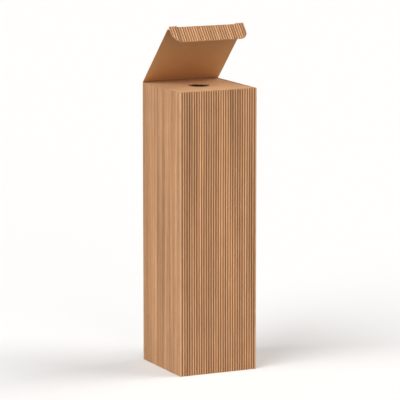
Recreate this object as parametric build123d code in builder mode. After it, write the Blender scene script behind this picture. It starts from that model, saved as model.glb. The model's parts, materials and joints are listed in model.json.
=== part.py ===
"""One-bottle shipping box of single-face corrugated board, standing with its lid half open.

Two folded sheets: the box blank (walls, glued seam, glued bottom flaps, lid and tuck flap) and an
insert that stands inside it (a top panel with a round hole, and two legs). The board is a smooth
liner with a waved medium glued to it. The box shows its flutes outside, the insert its smooth side.

Frame: +Z up, origin on the floor at the middle of the footprint, front wall towards -Y, lid hinged
along the top of the back wall. Sizes are in millimetres.
"""

import os
from math import acos, atan, cos, radians, sin, sqrt

from build123d import *

# Box, over the flute crests
width = 95.0  # side to side
depth = 100.0  # front to back
height = 320.0  # floor to the wall tops

# Board
liner = 0.25  # smooth paper
medium = 0.2  # waved paper
flute_height = 1.05  # trough to crest, on the medium's middle line
flute_pitch = 2.95  # crest to crest; fitted to a whole number of flutes on each sheet
glue_depth = 0.05  # how far the flutes sink into what they are glued to
bend_radius = 0.15  # inside the folded corners
crushed = 0.5  # board pressed flat along a crease
crease = 1.5  # half the width of a crease
crease_gap = 0.12  # between the two sides of a working crease

# Lid and tuck flap
lid_open = 45.0  # degrees up from closed
lid_rest_gap = 0.1  # closed lid over the wall tops
lid_side_gap = 0.2  # lid's side edges, in from the box's sides
tuck_length = 19.0
tuck_fold = 94.0  # degrees from flat
tuck_clearance = 0.3  # swinging flap to the walls and the insert
tuck_corner_left = 13.0
tuck_corner_right = 9.0
ear_width = 10.5
ear_height = 2.0
ear_slit = 0.35

# Seam and bottom flaps
seam_width = 17.7
seam_edge = 0.5  # back wall's raw edge, back from the fold that it is glued over
seam_end_gap = 8.0  # from the tab's ends to the wall top and the floor
flap_clearance = 0.6  # bottom flaps to the walls beside them
flap_meeting_gap = 1.0
dust_flap_length = 40.0
fold_slit = 0.3  # flutes cut through at the bottom folds

# Insert
insert_clearance = 0.3
insert_recess = 0.4  # top panel below the wall tops
insert_bend = 0.5
hole_diameter = 24.0
leg_foot_gap = 0.3

# Board heights over its inner face
trough_line = liner + medium / 2 - glue_depth
crest_line = trough_line + flute_height
board = crest_line + medium / 2

# Inner faces of the walls, and the outer radius of a folded corner
corner = bend_radius + board
half_width = width / 2
half_depth = depth / 2
inner_x = half_width - board
inner_y = half_depth - board


class Wave:
    """The waved medium over a straight run of board: equal tangent arcs, from crest to crest."""

    def __init__(self, span, count=None):
        self.count = count or max(2, round(span / flute_pitch))
        self.span = span
        self.pitch = span / self.count
        self.turn = 2 * atan(flute_height / 2 / (self.pitch / 4))  # slope where two arcs meet
        middle_radius = self.pitch / 4 / sin(self.turn)
        self.outer = middle_radius + medium / 2
        self.inner = middle_radius - medium / 2
        self.crest_centre = crest_line - middle_radius
        self.trough_centre = trough_line + middle_radius
        self.foot_turn = acos((self.outer - glue_depth) / self.outer)
        self.foot = self.outer * sin(self.foot_turn)  # half of a trough's glued width

    def widened(self):
        """The same wave with one more flute at each end."""
        return Wave(self.pitch * (self.count + 2), self.count + 2)

    def crest_arc(self, crest, radius, start, end):
        """Points of an arc over or under a crest, as (along, height)."""
        angles = (start, (start + end) / 2, end)
        return [(crest + radius * sin(a), self.crest_centre + radius * cos(a)) for a in angles]

    def trough_arc(self, trough, radius, start, end):
        angles = (start, (start + end) / 2, end)
        return [(trough + radius * sin(a), self.trough_centre - radius * cos(a)) for a in angles]


class Run:
    """A straight run of board in a sketch: its inner face leaves start at an angle, flutes on the right."""

    def __init__(self, start, angle, wave):
        self.start = Vector(*start)
        self.along = Vector(1, 0).rotate(Axis.Z, angle)
        self.out = Vector(0, -1).rotate(Axis.Z, angle)
        self.wave = wave

    def at(self, s, n):
        return self.start + self.along * s + self.out * n

    def arc(self, points):
        ThreePointArc(*[self.at(s, n) for s, n in points])


def draw_outside(run):
    """Add the outside of the medium to the open line, from the run's first crest to its last."""
    wave = run.wave
    for number in range(wave.count + 1):
        crest = number * wave.pitch
        start = -wave.turn if number > 0 else 0
        end = wave.turn if number < wave.count else 0
        run.arc(wave.crest_arc(crest, wave.outer, start, end))
        if number < wave.count:
            run.arc(wave.trough_arc(crest + wave.pitch / 2, wave.inner, -wave.turn, wave.turn))


def draw_channel_half(run, crest, side):
    """Add one half of a channel: the medium's underside from the crest's top down to its foot."""
    wave = run.wave
    trough = crest + side * wave.pitch / 2
    run.arc(wave.crest_arc(crest, wave.inner, 0, side * wave.turn))
    run.arc(wave.trough_arc(trough, wave.outer, -side * wave.turn, -side * wave.foot_turn))
    Line(run.at(trough - side * wave.foot, liner), run.at(crest, liner))


def straight_channel(run, crest):
    """The open channel under a crest of a straight run."""
    with BuildSketch() as shape:
        with BuildLine():
            draw_channel_half(run, crest, -1)
            draw_channel_half(run, crest, 1)
        make_face()
    return shape.sketch


def corner_channel(before, after, centre):
    """The channel that turns a folded corner, between the last flute of one run and the next's first."""
    last = before.wave.span
    with BuildSketch() as shape:
        with BuildLine():
            draw_channel_half(before, last, -1)
            draw_channel_half(after, 0, 1)
            for height_in_board in (liner, board - medium):
                reach = before.out + before.along
                middle = Vector(*centre) + reach.normalized() * (bend_radius + height_in_board)
                ends = (before.at(last, height_in_board), after.at(0, height_in_board))
                ThreePointArc(ends[0], middle, ends[1])
        make_face()
    return shape.sketch


def sheet_section(wave, left, right):
    """Section of a flat sheet on the X axis with its flutes up, cut at left and right.

    The wave's span is centred on 0, and a cut may fall up to one flute past its ends.
    """
    longer = wave.widened()
    run = Run((longer.span / 2, 0), 180, longer)
    channels = [straight_channel(run, number * longer.pitch) for number in range(longer.count + 1)]
    with BuildSketch() as section:
        with BuildLine():
            draw_outside(run)
            Polyline(run.at(0, board), run.at(0, 0), run.at(longer.span, 0), run.at(longer.span, board))
        make_face()
        add(channels, mode=Mode.SUBTRACT)
        with Locations(((left + right) / 2, board / 2)):
            Rectangle(right - left, 2 * board, mode=Mode.INTERSECT)
    return section.sketch


def sheet_plane(origin, run, out):
    """Workplane across a sheet: local Y is the way its flutes face, local Z the way they run."""
    run, out = Vector(*run), Vector(*out)
    return Plane(origin=origin, x_dir=out.cross(run), z_dir=run)


def add_sheet(section, plane, start, end, mode=Mode.ADD):
    """Extrude a section, drawn in local X and Y, from start to end along the plane's normal."""
    placed = plane.offset(start).location * section
    extrude(placed, amount=end - start, dir=plane.z_dir, mode=mode)


def add_block(plane, x, y, z, mode=Mode.ADD):
    """A block between pairs of local coordinates of a plane."""
    with BuildSketch(plane.offset(z[0])) as face:
        with Locations(((x[0] + x[1]) / 2, (y[0] + y[1]) / 2)):
            Rectangle(x[1] - x[0], y[1] - y[0])
    extrude(face.sketch, amount=z[1] - z[0], dir=plane.z_dir, mode=mode)


def add_round_end(plane, x, radius):
    """Half-round end of a crease: a rod along the plane's local X axis."""
    with BuildSketch(Plane(origin=plane.origin + plane.x_dir * x[0], z_dir=plane.x_dir)) as end:
        Circle(radius)
    extrude(end.sketch, amount=x[1] - x[0], dir=plane.x_dir)


# Walls, anticlockwise from the seam. The right wall folds into a tab glued inside the back wall.
raw_edge_x = half_width - corner - seam_edge
tab_y = inner_y + glue_depth - board  # inner face of the tab
seam_centre_y = tab_y + board - corner
back = Run((raw_edge_x, inner_y), 180, Wave(raw_edge_x + half_width - corner))
left = Run((-inner_x, half_depth - corner), 270, Wave(depth - 2 * corner))
front = Run((corner - half_width, -inner_y), 0, Wave(width - 2 * corner))
right = Run((inner_x, corner - half_depth), 90, Wave(seam_centre_y + half_depth - corner))
tab = Run((half_width - corner, tab_y), 180, Wave(seam_width))

corners = [
    (back, left, (corner - half_width, half_depth - corner)),
    (left, front, (corner - half_width, corner - half_depth)),
    (front, right, (half_width - corner, corner - half_depth)),
    (right, tab, (half_width - corner, seam_centre_y)),
]

with BuildSketch() as wall_section:
    with BuildLine():
        for run in (back, left, front, right):
            draw_outside(run)
        for before, after, centre in corners:
            diagonal = (before.out + before.along).normalized()
            for height_in_board in (0, board):
                ThreePointArc(
                    before.at(before.wave.span, height_in_board),
                    Vector(*centre) + diagonal * (bend_radius + height_in_board),
                    after.at(0, height_in_board),
                )
        for run in (back, left, front, right):
            Line(run.at(0, 0), run.at(run.wave.span, 0))
        Line(back.at(0, 0), back.at(0, board))
        Line(tab.at(0, 0), tab.at(0, board))
    make_face()
    with BuildLine():
        draw_outside(tab)
        Polyline(tab.at(0, board), tab.at(0, 0), tab.at(seam_width, 0), tab.at(seam_width, board))
    make_face()
    for before, after, centre in corners:
        add(corner_channel(before, after, centre), mode=Mode.SUBTRACT)
    add([straight_channel(back, 0), straight_channel(tab, seam_width)], mode=Mode.SUBTRACT)
    for run in (back, left, front, right, tab):
        crests = range(1, run.wave.count)
        add([straight_channel(run, crest * run.wave.pitch) for crest in crests], mode=Mode.SUBTRACT)

# Hinge lines. A crease turns about the middle of its crushed board.
lid_axis = Vector(0, inner_y + crushed / 2, height + lid_rest_gap + crushed / 2)
lid_run = Vector(0, -cos(radians(lid_open)), sin(radians(lid_open)))
lid_out = Vector(0, sin(radians(lid_open)), cos(radians(lid_open)))
lean = radians(tuck_fold - 90)
tuck_run = lid_out * -cos(lean) - lid_run * sin(lean)
tuck_out = lid_run * cos(lean) - lid_out * sin(lean)

# The lid is as long as lets the tip of the tuck flap just swing past the front wall
crest_over_axis = board - crushed / 2
swing_radius = lid_axis.Y + inner_y - tuck_clearance
tip_drop = tuck_length * cos(lean) + crest_over_axis * sin(lean)
lid_length = (
    sqrt(swing_radius**2 - tip_drop**2) + tuck_length * sin(lean) - crest_over_axis * cos(lean)
)
tuck_axis = lid_axis + lid_run * lid_length
inner_swing_radius = (lid_length - crushed / 2) * cos(lean)  # the flap's nearest to the lid's axis

# Bottom: front and back flaps meet below, dust flaps from the sides are glued on top of them
flap_length = inner_y - flap_meeting_gap / 2
flap_half_width = inner_x - flap_clearance
dust_half_width = inner_y - flap_clearance
dust_top = 2 * board - glue_depth

bottom_flaps = [
    (front.wave, flap_half_width, flap_length, board, (0, -inner_y), (0, 1, 0)),
    (front.wave, flap_half_width, flap_length, board, (0, inner_y), (0, -1, 0)),
    (left.wave, dust_half_width, dust_flap_length, dust_top, (-inner_x, 0), (1, 0, 0)),
    (left.wave, dust_half_width, dust_flap_length, dust_top, (inner_x, 0), (-1, 0, 0)),
]

back_crease = ((corner - half_width, raw_edge_x), (inner_y, inner_y + crushed))

with BuildPart() as box_body:
    extrude(wall_section.sketch, amount=height)
    # Tab ends cut short of the bottom flaps and the lid's crease
    tab_end_x = tab.at(seam_width, 0).X
    tab_cut_x = (tab_end_x - 1, half_width - corner - seam_edge / 2)
    for ends in ((0, seam_end_gap), (height - seam_end_gap, height)):
        add_block(Plane.XY, tab_cut_x, (tab_y - 1, inner_y), ends, Mode.SUBTRACT)
    # Crease of the lid: the back wall's top is pressed flat against its inner face
    add_block(
        Plane.XY,
        (back_crease[0][0], raw_edge_x + seam_edge / 2),
        (inner_y, half_depth + 1),
        (height - crease, height),
        Mode.SUBTRACT,
    )
    crease_top = lid_axis.Z - crushed / 2 - crease_gap
    add_block(Plane.XY, *back_crease, (height - crease, crease_top))
    for wave, half, length, top, hinge, run in bottom_flaps:
        plane = sheet_plane((*hinge, top), run, (0, 0, -1))
        add_sheet(sheet_section(wave, -half, half), plane, fold_slit, length)
        add_block(plane, (-half, half), (0, liner), (-liner / 2, fold_slit))

# Lid
lid_half_width = half_width - lid_side_gap
lid_middle = (raw_edge_x + corner - half_width) / 2  # its flutes run on from the back wall's
lid_left, lid_right = -lid_half_width - lid_middle, lid_half_width - lid_middle
lid_plane = sheet_plane(lid_axis - lid_out * (crushed / 2) + Vector(lid_middle, 0, 0), lid_run, lid_out)
tuck_half_width = inner_x - tuck_clearance
hinge_end = crushed / 2 + crease_gap
ear_inside = tuck_half_width - ear_width  # half of the fold between the two ears
fold_half = ear_inside - ear_slit
lid_section = sheet_section(back.wave, lid_left, lid_right)

with BuildPart() as lid:
    add_sheet(lid_section, lid_plane, crease, lid_length - crease)
    # Cut back behind the ears
    behind_ears = (lid_length - ear_height - ear_slit, lid_length)
    for side in ((lid_left - 1, -fold_half - lid_middle), (fold_half - lid_middle, lid_right + 1)):
        add_block(lid_plane, side, (-1, board + 1), behind_ears, Mode.SUBTRACT)
    # Crushed board at the two creases
    hinge_x = tuple(x - lid_middle for x in back_crease[0])
    add_block(lid_plane, hinge_x, (0, crushed), (0, crease))
    fold_x = (-fold_half - lid_middle, fold_half - lid_middle)
    add_block(lid_plane, fold_x, (0, crushed), (lid_length - crease, lid_length - hinge_end))
    add_round_end(lid_plane.shift_origin(lid_plane.from_local_coords((0, crushed / 2, 0))), hinge_x, crushed / 2)

# Tuck flap
tuck_plane = sheet_plane(tuck_axis - tuck_out * (crushed / 2) + Vector(lid_middle, 0, 0), tuck_run, tuck_out)
tuck_left, tuck_right = -tuck_half_width - lid_middle, tuck_half_width - lid_middle
tuck_section = sheet_section(back.wave, tuck_left, tuck_right)

with BuildPart() as tuck_flap:
    add_sheet(tuck_section, tuck_plane, -ear_height, tuck_length)
    between_ears = (-ear_inside - lid_middle, ear_inside - lid_middle)
    add_block(tuck_plane, between_ears, (-1, board + 1), (-ear_height - 1, crease), Mode.SUBTRACT)
    # Rounded corners at the tip
    outline_plane = Plane(tuck_plane.origin, x_dir=tuck_plane.x_dir, z_dir=-tuck_out)
    with BuildSketch(outline_plane.offset(-board - 1)) as outline:
        with BuildLine():
            Polyline(
                (tuck_left, -ear_height),
                (tuck_right, -ear_height),
                (tuck_right, tuck_length),
                (tuck_left, tuck_length),
                close=True,
            )
        make_face()
        fillet(outline.vertices().group_by(Axis.Y)[-1].sort_by(Axis.X)[0], tuck_corner_left)
        fillet(outline.vertices().group_by(Axis.Y)[-1].sort_by(Axis.X)[-1], tuck_corner_right)
    extrude(outline.sketch, amount=board + 2, dir=-tuck_out, mode=Mode.INTERSECT)
    add_block(tuck_plane, between_ears, (0, crushed), (0, crease))
    add_round_end(
        tuck_plane.shift_origin(tuck_plane.from_local_coords((0, crushed / 2, 0))), between_ears, crushed / 2
    )

# Insert: flutes inside and along the strip, so they run across the panel and down the legs
panel_top = height - insert_recess
panel_under_axis = lid_axis.Z - panel_top + board
panel_front = lid_axis.Y - sqrt((inner_swing_radius - tuck_clearance) ** 2 - panel_under_axis**2)
insert_back = tab_y - insert_clearance
leg_top = panel_top - crease
leg_foot = dust_top + leg_foot_gap
leg_front = lid_axis.Y - sqrt((inner_swing_radius - tuck_clearance) ** 2 - (tip_drop + tuck_clearance) ** 2)
insert_half_width = inner_x - insert_clearance
panel_middle = (panel_front + insert_back) / 2
leg_middle = (leg_front + insert_back) / 2
panel_half = (insert_back - panel_front) / 2
leg_half = (insert_back - leg_front) / 2

with BuildPart() as insert:
    panel_plane = sheet_plane((0, panel_middle, panel_top), (1, 0, 0), (0, 0, -1))
    panel_wave = Wave(2 * panel_half)
    panel_reach = insert_half_width - crease
    add_sheet(sheet_section(panel_wave, -panel_half, panel_half), panel_plane, -panel_reach, panel_reach)
    with BuildSketch(Plane.XY.offset(panel_top - board - 1)):
        with Locations((0, panel_middle)):
            Circle(hole_diameter / 2)
    extrude(amount=board + 2, mode=Mode.SUBTRACT)
    for side in (-1, 1):
        leg_plane = sheet_plane((side * insert_half_width, leg_middle, leg_foot), (0, 0, 1), (-side, 0, 0))
        leg_wave = Wave(2 * leg_half)
        add_sheet(sheet_section(leg_wave, -leg_half, leg_half), leg_plane, 0, leg_top - leg_foot)
        # Crushed fold between the panel and the leg, over the leg's width
        with BuildSketch(Plane.XZ.offset(-insert_back)) as fold:
            with BuildLine():
                Polyline(
                    (side * panel_reach, panel_top),
                    (side * insert_half_width, panel_top),
                    (side * insert_half_width, leg_top),
                    (side * (insert_half_width - crushed), leg_top),
                    (side * (insert_half_width - crushed), panel_top - crushed),
                    (side * panel_reach, panel_top - crushed),
                    close=True,
                )
            make_face()
            fillet(fold.vertices().sort_by(Axis((0, 0, 0), (side, 1, 0)))[-1], insert_bend)
        extrude(fold.sketch, amount=2 * leg_half, dir=(0, -1, 0))

os.makedirs("parts", exist_ok=True)
for name, piece in (
    ("box_body", box_body),
    ("lid", lid),
    ("tuck_flap", tuck_flap),
    ("insert", insert),
):
    piece.part.label = name
    export_step(piece.part, f"parts/{name}.step")
    print(name, len(piece.part.solids()), "solids", round(piece.part.volume, 1), "mm3")
print("lid axis", lid_axis, "tuck axis", tuck_axis, "lid length", round(lid_length, 3))
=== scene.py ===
"""One-bottle shipping box of fluted kraft board: its looks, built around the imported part."""

import json
from math import cos, pi, radians, sin

import bpy
import bmesh
import numpy as np
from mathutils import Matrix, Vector


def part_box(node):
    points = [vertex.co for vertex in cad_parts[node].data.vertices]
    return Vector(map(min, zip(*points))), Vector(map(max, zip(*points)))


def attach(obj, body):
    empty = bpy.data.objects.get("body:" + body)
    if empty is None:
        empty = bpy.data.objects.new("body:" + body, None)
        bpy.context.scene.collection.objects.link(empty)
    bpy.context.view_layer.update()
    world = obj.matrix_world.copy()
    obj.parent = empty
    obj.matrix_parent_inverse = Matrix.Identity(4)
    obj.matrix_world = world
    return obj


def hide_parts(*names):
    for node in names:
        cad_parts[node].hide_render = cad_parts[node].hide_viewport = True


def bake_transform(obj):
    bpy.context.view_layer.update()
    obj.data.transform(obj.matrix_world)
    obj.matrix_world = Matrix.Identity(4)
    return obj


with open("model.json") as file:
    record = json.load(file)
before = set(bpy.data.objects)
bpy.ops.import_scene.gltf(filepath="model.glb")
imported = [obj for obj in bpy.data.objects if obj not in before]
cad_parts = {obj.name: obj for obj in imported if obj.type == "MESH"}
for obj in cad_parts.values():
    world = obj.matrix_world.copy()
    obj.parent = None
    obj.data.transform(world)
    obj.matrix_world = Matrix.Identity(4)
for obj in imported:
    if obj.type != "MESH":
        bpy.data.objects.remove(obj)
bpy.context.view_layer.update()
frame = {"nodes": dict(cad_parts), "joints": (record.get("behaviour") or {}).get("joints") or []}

MM = 0.001

# Board, in millimetres: a smooth liner with a waved medium glued to it
LINER = 0.25
MEDIUM = 0.2
FLUTE_HEIGHT = 1.05
FLUTE_PITCH = 2.95
GLUE_DEPTH = 0.05
BEND_RADIUS = 0.15
CRUSHED = 0.5
CREASE = 1.5
SOFT_CRUSH = 3.5  # over which the flutes rise again beside a crease
TROUGH_LINE = LINER + MEDIUM / 2 - GLUE_DEPTH
CREST_LINE = TROUGH_LINE + FLUTE_HEIGHT
BOARD = CREST_LINE + MEDIUM / 2
CORNER = BEND_RADIUS + BOARD
RIPPLE = 0.03  # trace of the flutes that is left where the board is pressed flat
CRUSHED_LINE = CRUSHED - MEDIUM / 2 - RIPPLE  # middle of the medium where it is pressed flat
CRUSHED_SHARE = 0.05  # what is left of a flute there
WASHBOARD = 0.03  # how far the liner sinks at each glue line
UNEVEN = 0.05  # the most that a flute falls short of its height, as a share of it
FLUTE_STEPS = 12  # points of the medium to a flute
LINER_STEPS = 4  # points of the liner to a flute
SHARP_ANGLE = 50  # degrees between faces, past which an edge is shaded as an edge
FLUTED_FACE, CUT_EDGE, LINER_FACE = 0, 1, 2  # a piece's material slots

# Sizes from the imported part
body_high = np.array(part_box("box_body")[1]) / MM
joints = {joint["name"]: np.array(joint["pos_m"]) / MM for joint in frame["joints"]}
half_width, half_depth = body_high[0], body_high[1]
height = 320.0
inner_x, inner_y = half_width - BOARD, half_depth - BOARD

# Lid and tuck flap
tuck_length = 19.0
tuck_fold = 94.0
tuck_clearance = 0.3
tuck_corner_left = 13.0
tuck_corner_right = 9.0
ear_width = 10.5
ear_height = 2.0
ear_slit = 0.35
ear_slope = 0.3
FOLD_OVERRUN = 0.9  # the flap's flutes stand this far past the fold line, flush with the lid's outside
lid_side_gap = 0.2

# Seam and bottom flaps
seam_width = 17.7
seam_edge = 0.5
seam_end_gap = 8.0
flap_clearance = 0.6
flap_meeting_gap = 1.0
dust_flap_length = 40.0
fold_slit = 0.3

random = np.random.default_rng(31)


def smooth_step(share):
    """0 below 0, 1 above 1, and three squares less two cubes between."""
    share = np.clip(share, 0, 1)
    return share * share * (3 - 2 * share)


class Plane:
    """Where a sheet lies, and its directions: across its flutes, out of its fluted face and along them."""

    def __init__(self, origin, run, out, across=None):
        self.origin = np.array(origin, float)
        self.run = np.array(run, float)
        self.out = np.array(out, float)
        self.across = np.cross(self.out, self.run) if across is None else np.array(across, float)

    def point(self, across, out, run):
        """The origin plus each length times its own direction."""
        across, out, run = np.broadcast_arrays(across, out, run)
        return (
            self.origin
            + across[..., None] * self.across
            + out[..., None] * self.out
            + run[..., None] * self.run
        )


class Paper:
    """Closed shells of thin paper, gathered into one mesh."""

    def __init__(self):
        self.points, self.faces, self.finishes, self.places = [], [], [], []
        self.count = 0

    def add(self, outer, inner, place, finish, edge_finish):
        """Close two grids of points into a shell: quads over each grid, and a strip along each side."""
        rows, columns = outer.shape[:2]
        number = np.arange(rows * columns).reshape(rows, columns)
        under = number + rows * columns

        def quads(a, b, c, d):
            return np.stack([a.ravel(), b.ravel(), c.ravel(), d.ravel()], axis=1)

        over_faces = quads(number[:-1, :-1], number[:-1, 1:], number[1:, 1:], number[1:, :-1])
        under_faces = quads(under[:-1, :-1], under[1:, :-1], under[1:, 1:], under[:-1, 1:])
        sides = [
            quads(under[0, :-1], under[0, 1:], number[0, 1:], number[0, :-1]),
            quads(number[-1, :-1], number[-1, 1:], under[-1, 1:], under[-1, :-1]),
            quads(number[:-1, 0], number[1:, 0], under[1:, 0], under[:-1, 0]),
            quads(under[:-1, -1], under[1:, -1], number[1:, -1], number[:-1, -1]),
        ]
        faces = np.concatenate([over_faces, under_faces, *sides])
        is_edge = np.zeros(len(faces), bool)
        is_edge[len(over_faces) + len(under_faces):] = True
        self.points += [outer.reshape(-1, 3), inner.reshape(-1, 3)]
        self.places += [place.reshape(-1, 3)] * 2
        self.faces.append(faces + self.count)
        self.finishes.append(np.where(is_edge, edge_finish, finish))
        self.count += 2 * rows * columns

    def build(self, name, materials):
        """One object in metres, with its places on the sheet kept as an attribute."""
        mesh = bpy.data.meshes.new(name)
        points = np.concatenate(self.points) * MM
        faces = np.concatenate(self.faces)
        mesh.vertices.add(len(points))
        mesh.vertices.foreach_set("co", points.astype(np.float32).ravel())
        mesh.loops.add(faces.size)
        mesh.loops.foreach_set("vertex_index", faces.astype(np.int32).ravel())
        mesh.polygons.add(len(faces))
        mesh.polygons.foreach_set("loop_start", np.arange(0, faces.size, 4, dtype=np.int32))
        mesh.polygons.foreach_set("material_index", np.concatenate(self.finishes).astype(np.int32))
        mesh.update(calc_edges=True)
        mesh.validate()
        attribute = mesh.attributes.new("board_place", "FLOAT_VECTOR", "POINT")
        attribute.data.foreach_set("vector", np.concatenate(self.places).astype(np.float32).ravel())
        shape = bmesh.new()
        shape.from_mesh(mesh)
        bmesh.ops.recalc_face_normals(shape, faces=shape.faces)
        shape.to_mesh(mesh)
        shape.free()
        mesh.shade_smooth()
        mesh.set_sharp_from_angle(angle=radians(SHARP_ANGLE))
        for material in materials:
            mesh.materials.append(material)
        made = bpy.data.objects.new(name, mesh)
        bpy.context.scene.collection.objects.link(made)
        return made


def both_faces(plane, across, out, along, thickness, side=1):
    """Both faces of a paper: its middle line moved each way by half its thickness, square to the line."""
    d_across, d_out = np.gradient(across, axis=1), np.gradient(out, axis=1)
    share = side * thickness / 2 / np.hypot(d_across, d_out)
    outer = plane.point(across - share * d_out, out + share * d_across, along)
    inner = plane.point(across + share * d_out, out - share * d_across, along)
    return outer, inner


def wave_height(turns):
    """The medium's middle line: the trough, and half a flute times one plus the cosine of its turns."""
    return TROUGH_LINE + FLUTE_HEIGHT / 2 * (1 + np.cos(2 * pi * turns))


def washboard(turns):
    """The liner's middle line: it sinks a little at each glue line, as one less the cosine of its turns."""
    return LINER / 2 + WASHBOARD / 2 * (1 - np.cos(2 * pi * turns))


def wandering(rows, columns, reach, amount):
    """Smooth random numbers from 0 to amount: coarse random values, interpolated across the columns."""
    coarse = random.random((rows, reach))
    at = np.linspace(0, reach - 1, columns)
    return amount * np.stack([np.interp(at, np.arange(reach), row) for row in coarse])


def flattened(height_over_face, share):
    """The medium's middle line between pressed flat, at share 0, and as it was, at 1."""
    kept = CRUSHED_SHARE + (1 - CRUSHED_SHARE) * share
    return CRUSHED_LINE + (height_over_face - CRUSHED_LINE) * kept


def place_on_sheet(across, along, level):
    """Across and along in metres, and how high on its flute a point lies, from 0 to 1."""
    across, along, level = np.broadcast_arrays(across, along, level)
    return np.stack([across * MM, along * MM, level], axis=-1)


def add_flat_board(
    paper, plane, pitch, left, right, start, end, rows, crush=None, shift=0.0, breaks=()
):
    """A flat sheet: the wave and the liner across from left to right, and rows along from start to end.

    start and end are functions of the place across; a row lies at its share of the way between them.
    crush is a function of the places across and along: 0 where the board is pressed flat, 1 where whole.
    """
    for steps, is_liner in ((FLUTE_STEPS, False), (LINER_STEPS, True)):
        count = int(np.ceil((right - left) / pitch * steps))
        inner_breaks = [place for place in breaks if left < place < right]
        across = np.unique(np.concatenate([np.linspace(left, right, count + 1), inner_breaks]))
        turns = (across - shift) / pitch
        share = np.asarray(rows)[:, None]
        along = start(across)[None] + share * (end(across) - start(across))[None]
        whole = np.ones_like(along) if crush is None else crush(across[None], along)
        spread = np.broadcast_to(across, along.shape)
        level = (1 + np.cos(2 * pi * turns))[None] / 2 * whole
        if is_liner:
            line = LINER / 2 + (washboard(turns)[None] - LINER / 2) * whole
            outer, inner = both_faces(plane, spread, line, along, LINER)
        else:
            flutes = max(4, int((right - left) / pitch))
            uneven = 1 - wandering(len(along), len(across), flutes, UNEVEN)
            line = flattened(TROUGH_LINE + (wave_height(turns)[None] - TROUGH_LINE) * uneven, whole)
            outer, inner = both_faces(plane, spread, line, along, MEDIUM)
        finish = LINER_FACE if is_liner else FLUTED_FACE
        paper.add(outer, inner, place_on_sheet(spread, along, level), finish, CUT_EDGE)


# ---------------------------------------------------------------- materials


class Wire:
    """A shader socket. Sums on it add Math nodes."""

    def __init__(self, shader, socket):
        self.shader, self.socket = shader, socket

    def maths(self, operation, first, second):
        return self.shader.node("ShaderNodeMath", {"operation": operation}, {0: first, 1: second})

    def __add__(self, other):
        return self.maths("ADD", self, other)

    __radd__ = __add__

    def __sub__(self, other):
        return self.maths("SUBTRACT", self, other)

    def __rsub__(self, other):
        return self.maths("SUBTRACT", other, self)

    def __mul__(self, other):
        return self.maths("MULTIPLY", self, other)

    __rmul__ = __mul__

    def __pow__(self, other):
        return self.maths("POWER", self, other)


class Shader:
    """A node tree that is written as sums."""

    def __init__(self, tree):
        self.tree = tree
        tree.nodes.clear()

    def node(self, kind, settings=None, sockets=None, output=0):
        made = self.tree.nodes.new(kind)
        for name, value in (settings or {}).items():
            setattr(made, name, value)
        for name, value in (sockets or {}).items():
            if isinstance(value, Wire):
                self.tree.links.new(value.socket, made.inputs[name])
            else:
                made.inputs[name].default_value = value
        return Wire(self, made.outputs[output]) if made.outputs else None

    def stretched(self, vector, scale):
        return self.node("ShaderNodeVectorMath", {"operation": "MULTIPLY"}, {0: vector, 1: scale})

    def noise(self, vector, scale, detail=2.0, roughness=0.5):
        """Noise around 0, from about -0.5 to 0.5. Scale is its waves to a metre along each axis."""
        found = self.node(
            "ShaderNodeTexNoise",
            {"normalize": True},
            {
                "Vector": self.stretched(vector, scale),
                "Scale": 1.0,
                "Detail": detail,
                "Roughness": roughness,
            },
        )
        return found - 0.5

    def mixed(self, share, first, second):
        return self.node(
            "ShaderNodeMix", {"data_type": "RGBA"}, {0: share, 6: first, 7: second}, output=2
        )

    def brightened(self, colour, amount):
        """A colour, as a socket or three numbers, times an amount."""
        return self.node("ShaderNodeVectorMath", {"operation": "SCALE"}, {0: colour, "Scale": amount})

    def clamped(self, value, low, high):
        return self.node("ShaderNodeClamp", {}, {"Value": value, "Min": low, "Max": high})

    def bump(self, level, distance):
        return self.node("ShaderNodeBump", {}, {"Height": level, "Distance": distance, "Strength": 1.0})


KRAFT = (0.558, 0.300, 0.148, 1.0)
KRAFT_PAINTED_GROOVE_SHADE = (0.235, 0.096, 0.035, 1.0)  # painted shade at the bottom of a groove
KRAFT_PALE_EDGE_AND_HIGHLIGHT = (0.780, 0.540, 0.350, 1.0)  # cut edges, and a painted highlight on the flute crests
PAINTED_SHADE_OVER = 0.095  # metres along the lid over which its painted shade deepens to the full
PAINTED_SHADE_WANDER = 0.03  # metres by which the edge of that painted shade wanders
PAPER_ROUGHNESS = 0.82
CUT_ROUGHNESS = 0.9
PAPER_SHINE = 0.25
FLUTED_RELIEF = 0.00006  # metres of bump in the fibres
SMOOTH_RELIEF = 0.00004
GROOVE_PAINTED_SHADE = 0.95  # share of the painted shade colour at the bottom of a groove
GROOVE_FALL = 1.2  # power by which the painted shade fades up a flute's side
CREST_HIGHLIGHT_FROM = 0.80  # height on a flute above which a highlight is painted on it
CREST_HIGHLIGHT_MOST = 0.35  # share of the pale tone in the brightest painted highlight on a crest


def paper_material(name):
    """An empty material and the shader that fills it."""
    material = bpy.data.materials.new(name)
    material.use_nodes = True
    return material, Shader(material.node_tree)


def finish_paper(shader, colour, roughness, normal):
    """Matt paper with a faint sheen."""
    surface = shader.node(
        "ShaderNodeBsdfPrincipled",
        {},
        {
            "Base Color": colour,
            "Roughness": roughness,
            "Specular IOR Level": PAPER_SHINE,
            "Normal": normal,
        },
    )
    shader.node("ShaderNodeOutputMaterial", {}, {"Surface": surface})


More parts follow.
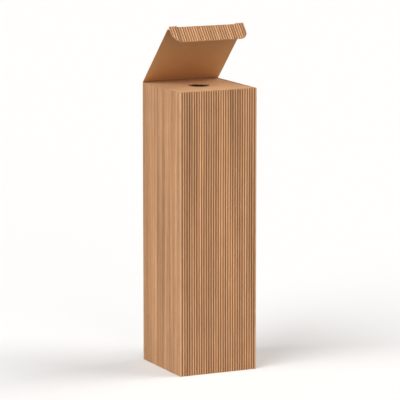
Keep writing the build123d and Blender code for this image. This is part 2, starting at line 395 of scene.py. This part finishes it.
def fluted_kraft_painted_light(name):
    """Kraft medium: each flute its own tone, fibres along it, painted shade in the grooves and a painted
    highlight on the crests.
    """
    material, shader = paper_material(name)
    place = shader.node("ShaderNodeAttribute", {"attribute_name": "board_place"}, output=1)
    level = shader.node("ShaderNodeSeparateXYZ", {}, {0: place}, output=2)
    flute_tone = shader.noise(place, (340.0, 5.0, 0.0), 1.0)
    band_tone = shader.noise(place, (150.0, 2.5, 0.0), 1.0)
    streaks = shader.noise(place, (1500.0, 45.0, 0.0), 3.0, 0.6)
    fibres = shader.noise(place, (7000.0, 900.0, 0.0), 2.0, 0.6)
    mottle = shader.noise(place, (45.0, 45.0, 0.0), 3.0)
    tone = 1.0 + 0.60 * flute_tone + 1.25 * band_tone + 0.25 * streaks + 0.16 * fibres + 0.10 * mottle
    # Painted shade, deepening towards the bottom of each groove
    depth = shader.clamped(1.0 - level, 0.0, 1.0)
    ground = shader.mixed(GROOVE_PAINTED_SHADE * depth**GROOVE_FALL, KRAFT, KRAFT_PAINTED_GROOVE_SHADE)
    # Painted highlight on the crests, with a streaky edge
    crest_highlight = shader.clamped((level - CREST_HIGHLIGHT_FROM) * 2.2 + 1.2 * streaks, 0.0, CREST_HIGHLIGHT_MOST)
    ground = shader.mixed(crest_highlight, ground, KRAFT_PALE_EDGE_AND_HIGHLIGHT)
    colour = shader.brightened(ground, tone)
    roughness = shader.clamped(PAPER_ROUGHNESS + 0.25 * fibres, 0.5, 1.0)
    finish_paper(shader, colour, roughness, shader.bump(fibres + streaks, FLUTED_RELIEF))
    return material


def smooth_kraft(name, ground=KRAFT, on_object=False, painted_shade=0.0):
    """Kraft liner: fine grain, short fibres both ways and soft mottling.

    The last argument is painted shade: the share of its light that the liner loses along the sheet, reached
    over a set distance and kept beyond it.
    """
    material, shader = paper_material(name)
    if on_object:
        place = shader.node("ShaderNodeTexCoord", {}, output=3)
    else:
        place = shader.node("ShaderNodeAttribute", {"attribute_name": "board_place"}, output=1)
    through = 1.0 if on_object else 0.0  # a place on the sheet has the flute's height as its third number
    grain = shader.noise(place, (5200.0, 5200.0, 5200.0 * through), 2.0, 0.6)
    fibres = shader.noise(place, (1600.0, 350.0, 1600.0 * through), 2.0)
    cross_fibres = shader.noise(place, (300.0, 1500.0, 300.0 * through), 2.0)
    mottle = shader.noise(place, (60.0, 60.0, 60.0 * through), 3.0)
    tone = 1.0 + 0.10 * grain + 0.10 * fibres + 0.07 * cross_fibres + 0.07 * mottle
    if painted_shade:
        # Painted shade: darker further along the sheet
        along = shader.node("ShaderNodeSeparateXYZ", {}, {0: place}, output=1)
        wandered = along + mottle * PAINTED_SHADE_WANDER
        tone = tone * (1.0 - shader.clamped(painted_shade / PAINTED_SHADE_OVER * wandered, 0.0, painted_shade))
    colour = shader.brightened(ground[:3], tone)
    roughness = shader.clamped(PAPER_ROUGHNESS + 0.2 * grain, 0.5, 1.0)
    finish_paper(shader, colour, roughness, shader.bump(grain + fibres, SMOOTH_RELIEF))
    return material


def cut_kraft(name):
    """Cut edge: paler, with torn fibres."""
    material, shader = paper_material(name)
    place = shader.node("ShaderNodeTexCoord", {}, output=3)
    fibres = shader.noise(place, (4200.0, 4200.0, 4200.0), 3.0, 0.6)
    colour = shader.brightened(KRAFT_PALE_EDGE_AND_HIGHLIGHT[:3], 1.0 + 0.3 * fibres)
    finish_paper(shader, colour, CUT_ROUGHNESS, shader.bump(fibres, FLUTED_RELIEF))
    return material


outside = fluted_kraft_painted_light("fluted_kraft_painted_light")
cut_edge = cut_kraft("cut_edge")
inside = smooth_kraft("smooth_kraft")
# The lid's liner: a more saturated copy of the kraft standing in for warm bounced light, with painted shade
# deepening towards the tuck flap
lid_inside = smooth_kraft("lid_kraft_painted_shade", (0.620, 0.315, 0.128, 1.0), painted_shade=0.50)
# The insert's liner: a lighter copy of the kraft, partly standing in for light from above
insert_face = smooth_kraft("insert_kraft_painted_light", (0.610, 0.345, 0.180, 1.0), on_object=True)
crease_face = smooth_kraft("crease_kraft", (0.47, 0.245, 0.12, 1.0))
board_finishes = [outside, cut_edge, inside]

# ---------------------------------------------------------------- walls

raw_edge_x = half_width - CORNER - seam_edge
tab_y = inner_y + GLUE_DEPTH - BOARD
seam_centre_y = tab_y + BOARD - CORNER
wall_runs = [  # start, direction, outward, length
    ((raw_edge_x, inner_y), (-1, 0), (0, 1), raw_edge_x + half_width - CORNER),
    ((-inner_x, half_depth - CORNER), (0, -1), (-1, 0), 2 * (half_depth - CORNER)),
    ((CORNER - half_width, -inner_y), (1, 0), (0, -1), 2 * (half_width - CORNER)),
    ((inner_x, CORNER - half_depth), (0, 1), (1, 0), seam_centre_y + half_depth - CORNER),
    ((half_width - CORNER, tab_y), (-1, 0), (0, 1), seam_width),
]
CORNER_STEPS = 7  # points around each corner
BACK, TAB = 0, 4  # numbers of the back wall's and the tab's runs
WALL_DRAWS = 138  # coarse random flute heights to a row, about one to a flute
SWAY_ROOM = 12.0  # distance from a corner over which the flutes' sway grows to the full
SWAYS = ((0.10, 47.0, 1.3), (0.06, 19.0, 0.0))  # reach, height to a radian and start of each sine
wall_rows = np.concatenate(
    [[0, 0.6, 4], np.arange(25, 271, 35), height - np.array([20, 9, 5.5, 4.4, 3.4, 2.4, 1.5, 0])]
)


def wall_line(steps):
    """The walls' inner face as one line around the box: straight runs, joined by quarter turns.

    Gives each point's foot, outward direction, turns of the wave (whole at a crest) and run number.
    A corner's points turn about its centre, evenly from one run's outward direction to the next's.
    """
    feet, outs, turns, runs, rooms = [], [], [], [], []
    for number, (start, way, out, length) in enumerate(wall_runs):
        start, way, out = (np.array(v, float) for v in (start, way, out))
        count = max(2, round(length / FLUTE_PITCH))
        share = np.linspace(0, 1, count * steps + 1)
        feet.append(start + share[:, None] * length * way)
        outs.append(np.repeat(out[None], len(share), axis=0))
        turns.append(share * count)
        runs.append(np.full(len(share), number))
        rooms.append(np.minimum(share, 1 - share) * length)
        if number + 1 < len(wall_runs):
            after = np.array(wall_runs[number + 1][2], float)
            centre = start + length * way - BEND_RADIUS * out
            angle = np.linspace(0, pi / 2, CORNER_STEPS + 2)[1:-1, None]
            turned = np.cos(angle) * out + np.sin(angle) * after
            feet.append(centre + BEND_RADIUS * turned)
            outs.append(turned)
            turns.append(np.zeros(CORNER_STEPS))
            runs.append(np.full(CORNER_STEPS, number + 0.5))
            rooms.append(np.zeros(CORNER_STEPS))
    return [np.concatenate(parts) for parts in (feet, outs, turns, runs, rooms)]


def add_walls(paper):
    """All four walls and the seam tab: the wave and the liner stand on one line, carried up in rows."""
    upright = Plane((0, 0, 0), (0, 0, 1), (0, 1, 0), across=(1, 0, 0))
    rows = wall_rows[:, None]
    for steps, is_liner in ((FLUTE_STEPS, False), (LINER_STEPS, True)):
        feet, outs, turns, runs, rooms = wall_line(steps)
        travelled = np.concatenate([[0], np.cumsum(np.hypot(*np.diff(feet, axis=0).T))])
        on_tab = np.clip(runs - (TAB - 1), 0, 1)[None]
        on_back = (runs == BACK)[None]
        along = np.where(on_back, rows * (height - CREASE) / height, rows)
        along = seam_end_gap * on_tab + along * (1 - 2 * seam_end_gap / height * on_tab)
        whole = np.where(on_back, smooth_step((height - CREASE - along) / SOFT_CRUSH), 1.0)
        # Flutes wander sideways a little, less beside the corners
        sway = sum(amount * np.sin(rows / length + start) for amount, length, start in SWAYS)
        sway = sway * np.clip(rooms / SWAY_ROOM, 0, 1)[None]
        way = np.stack([-outs[:, 1], outs[:, 0]], axis=1)
        if is_liner:
            line, thickness = washboard(turns)[None] * whole + LINER / 2 * (1 - whole), LINER
        else:
            uneven = 1 - wandering(len(rows), len(turns), WALL_DRAWS, UNEVEN) * (rooms > FLUTE_PITCH)[None]
            line = TROUGH_LINE + (wave_height(turns)[None] - TROUGH_LINE) * uneven
            line, thickness = flattened(line, whole), MEDIUM
        x = feet[:, 0] + outs[:, 0] * line + way[:, 0] * sway
        y = feet[:, 1] + outs[:, 1] * line + way[:, 1] * sway
        outer, inner = both_faces(upright, x, y, along, thickness, side=-1)
        level = (1 + np.cos(2 * pi * turns))[None] / 2 * whole
        place = place_on_sheet(travelled[None], along, level)
        paper.add(outer, inner, place, LINER_FACE if is_liner else FLUTED_FACE, CUT_EDGE)


def level_line(value):
    """A sheet's end that is the same all the way across."""
    return lambda across: np.full(across.shape, float(value))


FLAP_ROWS = (0, 0.03, 0.5, 0.97, 1)


def add_bottom_flaps(paper):
    """Front and back flaps below, and the side walls' dust flaps glued on top of them."""
    flap_length = inner_y - flap_meeting_gap / 2
    dust_top = 2 * BOARD - GLUE_DEPTH
    side_pitch = 2 * (half_depth - CORNER) / round(2 * (half_depth - CORNER) / FLUTE_PITCH)
    front_pitch = 2 * (half_width - CORNER) / round(2 * (half_width - CORNER) / FLUTE_PITCH)
    for hinge, run, pitch, half, length, top in (
        ((0, -inner_y), (0, 1, 0), front_pitch, inner_x - flap_clearance, flap_length, BOARD),
        ((0, inner_y), (0, -1, 0), front_pitch, inner_x - flap_clearance, flap_length, BOARD),
        ((-inner_x, 0), (1, 0, 0), side_pitch, inner_y - flap_clearance, dust_flap_length, dust_top),
        ((inner_x, 0), (-1, 0, 0), side_pitch, inner_y - flap_clearance, dust_flap_length, dust_top),
    ):
        plane = Plane((*hinge, top), run, (0, 0, -1))
        ends = level_line(fold_slit), level_line(length)
        add_flat_board(paper, plane, pitch, -half, half, *ends, FLAP_ROWS)


walls = Paper()
add_walls(walls)
walls_piece = walls.build("box_walls", board_finishes)
flaps = Paper()
add_bottom_flaps(flaps)
flaps_piece = flaps.build("bottom_flaps", board_finishes)
for piece in (walls_piece, flaps_piece):
    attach(piece, "box")
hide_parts("box_body")

# ---------------------------------------------------------------- lid and tuck flap

lid_axis, tuck_axis = joints["lid_hinge"], joints["tuck_hinge"]
lid_length = np.linalg.norm(tuck_axis - lid_axis)
lid_run = (tuck_axis - lid_axis) / lid_length
lid_out = np.array([0, lid_run[2], -lid_run[1]])
lean = radians(tuck_fold - 90)
tuck_run = -lid_out * cos(lean) - lid_run * sin(lean)
tuck_out = lid_run * cos(lean) - lid_out * sin(lean)
lid_half_width = half_width - lid_side_gap
lid_middle = (raw_edge_x + CORNER - half_width) / 2
tuck_half_width = inner_x - tuck_clearance
ear_inside = tuck_half_width - ear_width
fold_half = ear_inside - ear_slit
back_length = wall_runs[BACK][3]
back_pitch = back_length / round(back_length / FLUTE_PITCH)
crest_shift = back_length / 2 % back_pitch  # puts a crest where the back wall's flutes have theirs
middle = np.array([lid_middle, 0, 0])
lid_plane = Plane(lid_axis - lid_out * (CRUSHED / 2) + middle, lid_run, lid_out)
tuck_plane = Plane(tuck_axis - tuck_out * (CRUSHED / 2) + middle, tuck_run, tuck_out)

lid_rows = np.concatenate([np.linspace(0, 0.06, 7), np.linspace(0.12, 0.88, 9), np.linspace(0.94, 1, 7)])
flap_rows = np.concatenate([np.linspace(0, 0.25, 7), np.linspace(0.32, 1, 12)])


def stepped(edges, low, high):
    """A sheet's end that is low between the two edges and high outside them, with a short slope at each."""
    left, right = edges
    return lambda across: np.interp(
        across, (left - ear_slope, left, right, right + ear_slope), (high, low, low, high)
    )


def lid_end(across):
    """Short of the fold between the ears, and cut back further behind them."""
    behind_ears = lid_length - ear_height - ear_slit
    edges = (-fold_half - lid_middle, fold_half - lid_middle)
    return stepped(edges, lid_length - CREASE, behind_ears)(across)


def lid_crush(across, along):
    """Pressed flat at the hinge and at the fold, and rising again over a short way from each."""
    from_hinge = smooth_step((along - CREASE) / SOFT_CRUSH)
    between = np.abs(across + lid_middle) < fold_half
    from_fold = smooth_step((lid_length - CREASE - along) / SOFT_CRUSH)
    return from_hinge * np.where(between, from_fold, 1.0)


def tuck_start(across):
    """Past the fold, flush with the lid's outside, and further at the ears."""
    return stepped((-ear_inside - lid_middle, ear_inside - lid_middle), -FOLD_OVERRUN, -ear_height)(across)


def tuck_end(across):
    """The tip: straight, and a quarter circle at each corner."""
    x = across + lid_middle
    cut = np.zeros_like(x)
    for side, radius in ((-1, tuck_corner_left), (1, tuck_corner_right)):
        past = np.clip(side * x - (tuck_half_width - radius), 0, radius)
        cut += radius - np.sqrt(radius**2 - past**2)
    return tuck_length - cut


FOLD_SHARE = 0.45  # what is left of the flap's flutes at the fold


def tuck_crush(across, along):
    """Partly flat beside the fold, between the ears, and whole a crease's width further on."""
    between = np.abs(across + lid_middle) < ear_inside
    risen = FOLD_SHARE + (1 - FOLD_SHARE) * smooth_step((along + FOLD_OVERRUN) / CREASE)
    return np.where(between, risen, 1.0)


lid_paper = Paper()
add_flat_board(
    lid_paper, lid_plane, back_pitch, -lid_half_width - lid_middle, lid_half_width - lid_middle,
    level_line(CREASE), lid_end, lid_rows, lid_crush, crest_shift,
    [s * fold_half - lid_middle + t * s * ear_slope for s in (-1, 1) for t in (0, 1)],
)
lid_piece = lid_paper.build("lid_board", [outside, cut_edge, lid_inside])
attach(lid_piece, "lid")
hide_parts("lid")

tuck_paper = Paper()
add_flat_board(
    tuck_paper, tuck_plane, back_pitch, -tuck_half_width - lid_middle, tuck_half_width - lid_middle,
    tuck_start, tuck_end, flap_rows, tuck_crush, crest_shift,
    [s * ear_inside - lid_middle + t * s * ear_slope for s in (-1, 1) for t in (0, 1)],
)
tuck_piece = tuck_paper.build("tuck_board", board_finishes)
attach(tuck_piece, "tuck_flap")
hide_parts("tuck_flap")


CREASE_THICKNESS = CRUSHED - 0.06
CREASE_REACH = 3.0  # from the axis to each end of the strip
CREASE_ROUNDING = 0.25  # size of the round stretch at the axis
CREASE_STEPS = 25
CREASE_COLUMNS = 6  # to a flute
CREASE_LEVEL = 0.4  # height on a flute that the strip's finish is taken at
CREASE_INSET = 0.1


def crease_strip(name, before, after, axis, x_ends):
    """Crushed board through a working crease: a flat strip whose middle line turns from one way to the next.

    The line leaves the axis backwards along before and forwards along after; near the axis it is a curve
    whose points are the axis plus a share of each way, the shares being half of the distance and its root
    with a small square, so that the bend is round.
    """
    before, after = np.array(before, float), np.array(after, float)
    steps = np.linspace(-CREASE_REACH, CREASE_REACH, CREASE_STEPS)
    rounded = np.sqrt(steps**2 + CREASE_ROUNDING**2)
    forward = (steps + rounded) / 2
    backward = (-steps + rounded) / 2
    line = axis + forward[:, None] * after - backward[:, None] * before
    tangent = np.gradient(line, axis=0)
    tangent /= np.linalg.norm(tangent, axis=1)[:, None]
    normal = np.cross(tangent, np.array([1.0, 0, 0]))
    across = np.linspace(*x_ends, int((x_ends[1] - x_ends[0]) / back_pitch * CREASE_COLUMNS))
    ripple = RIPPLE * np.cos(2 * pi * (across - lid_middle - crest_shift) / back_pitch)[None, :, None]
    base = line[:, None, :] + across[None, :, None] * np.array([1.0, 0, 0])
    outer = base + normal[:, None, :] * (CREASE_THICKNESS / 2 - RIPPLE + ripple)
    inner = base - normal[:, None, :] * (CREASE_THICKNESS / 2)
    strip = Paper()
    place = place_on_sheet(across[None] - lid_middle, steps[:, None], CREASE_LEVEL)
    strip.add(outer, inner, place, FLUTED_FACE, CUT_EDGE)
    made = strip.build(name, [crease_face, cut_edge])
    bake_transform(made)


crease_half = lid_half_width - CREASE_INSET
crease_strip("lid_crease", (0, 0, 1), lid_run, lid_axis, (-crease_half, crease_half))
crease_strip("tuck_crease", lid_run, tuck_run, tuck_axis, (-fold_half, fold_half))

# ---------------------------------------------------------------- insert

insert_node = frame["nodes"]["insert"]
insert_node.data.materials.clear()
insert_node.data.materials.append(insert_face)

# ---------------------------------------------------------------- studio

FLOOR_REACH = 30.0  # metres each way
FLOOR_DROP = 0.0001  # under the box, so that the two don't share a plane
FLOOR_COLOUR = 0.80
FLOOR_GLOW = 0.12  # seen by the camera alone
corner_signs = ((-1, -1), (1, -1), (1, 1), (-1, 1))
floor_corners = [(FLOOR_REACH * x, FLOOR_REACH * y, -FLOOR_DROP) for x, y in corner_signs]
floor_mesh = bpy.data.meshes.new("floor")
floor_mesh.from_pydata(floor_corners, [], [(0, 1, 2, 3)])
floor = bpy.data.objects.new("floor", floor_mesh)
bpy.context.scene.collection.objects.link(floor)
floor_material, shader = paper_material("floor_white")
floor_paint = shader.node("ShaderNodeBsdfDiffuse", {}, {"Color": (FLOOR_COLOUR,) * 3 + (1.0,)})
is_camera = shader.node("ShaderNodeLightPath", {}, output=0)
glow_strength = FLOOR_GLOW * is_camera
glow = shader.node("ShaderNodeEmission", {}, {"Color": (1.0, 1.0, 1.0, 1.0), "Strength": glow_strength})
both = shader.node("ShaderNodeAddShader", {}, {0: floor_paint, 1: glow})
shader.node("ShaderNodeOutputMaterial", {}, {"Surface": both})
floor_mesh.materials.append(floor_material)


def add_sun(name, towards, strength, spread, colour):
    """A broad soft lamp that stands in the direction towards, seen from the box."""
    lamp = bpy.data.lights.new(name, "SUN")
    lamp.energy, lamp.angle, lamp.color = strength, radians(spread), colour
    made = bpy.data.objects.new(name, lamp)
    made.rotation_euler = Vector(towards).to_track_quat("Z", "Y").to_euler()
    bpy.context.scene.collection.objects.link(made)


add_sun("left_lamp", (-0.87, -0.28, 0.80), 2.40, 50, (1.0, 1.0, 1.0))
add_sun("top_lamp", (0.75, -0.25, 1.00), 1.60, 40, (1.0, 0.97, 0.93))
add_sun("front_lamp", (-0.05, -1.00, 0.24), 0.60, 30, (1.0, 0.93, 0.84))

world = bpy.data.worlds.new("studio")
bpy.context.scene.world = world
world.use_nodes = True
shader = Shader(world.node_tree)
seen = shader.node("ShaderNodeLightPath", {}, output=0)
AMBIENT = 0.16  # what the box gets; the camera sees white
brightness = AMBIENT + (1 - AMBIENT) * seen
sky = shader.node("ShaderNodeBackground", {}, {"Color": (1.0, 1.0, 1.0, 1.0), "Strength": brightness})
shader.node("ShaderNodeOutputWorld", {}, {"Surface": sky})

HEADING, DIP = radians(25.60), radians(9.74)
LENS, SENSOR = 266.13, 36.0
CAMERA_PLACE = (-1.4196, -2.9649, 0.7535)
ahead = Vector((sin(HEADING) * cos(DIP), cos(HEADING) * cos(DIP), -sin(DIP)))
camera_data = bpy.data.cameras.new("camera")
camera_data.lens, camera_data.sensor_width = LENS, SENSOR
camera_data.clip_start, camera_data.clip_end = 0.1, 100.0
camera = bpy.data.objects.new("camera", camera_data)
camera.location = CAMERA_PLACE
camera.rotation_euler = (-ahead).to_track_quat("Z", "Y").to_euler()
bpy.context.scene.collection.objects.link(camera)
bpy.context.scene.camera = camera
bpy.context.scene.view_settings.view_transform = "Standard"
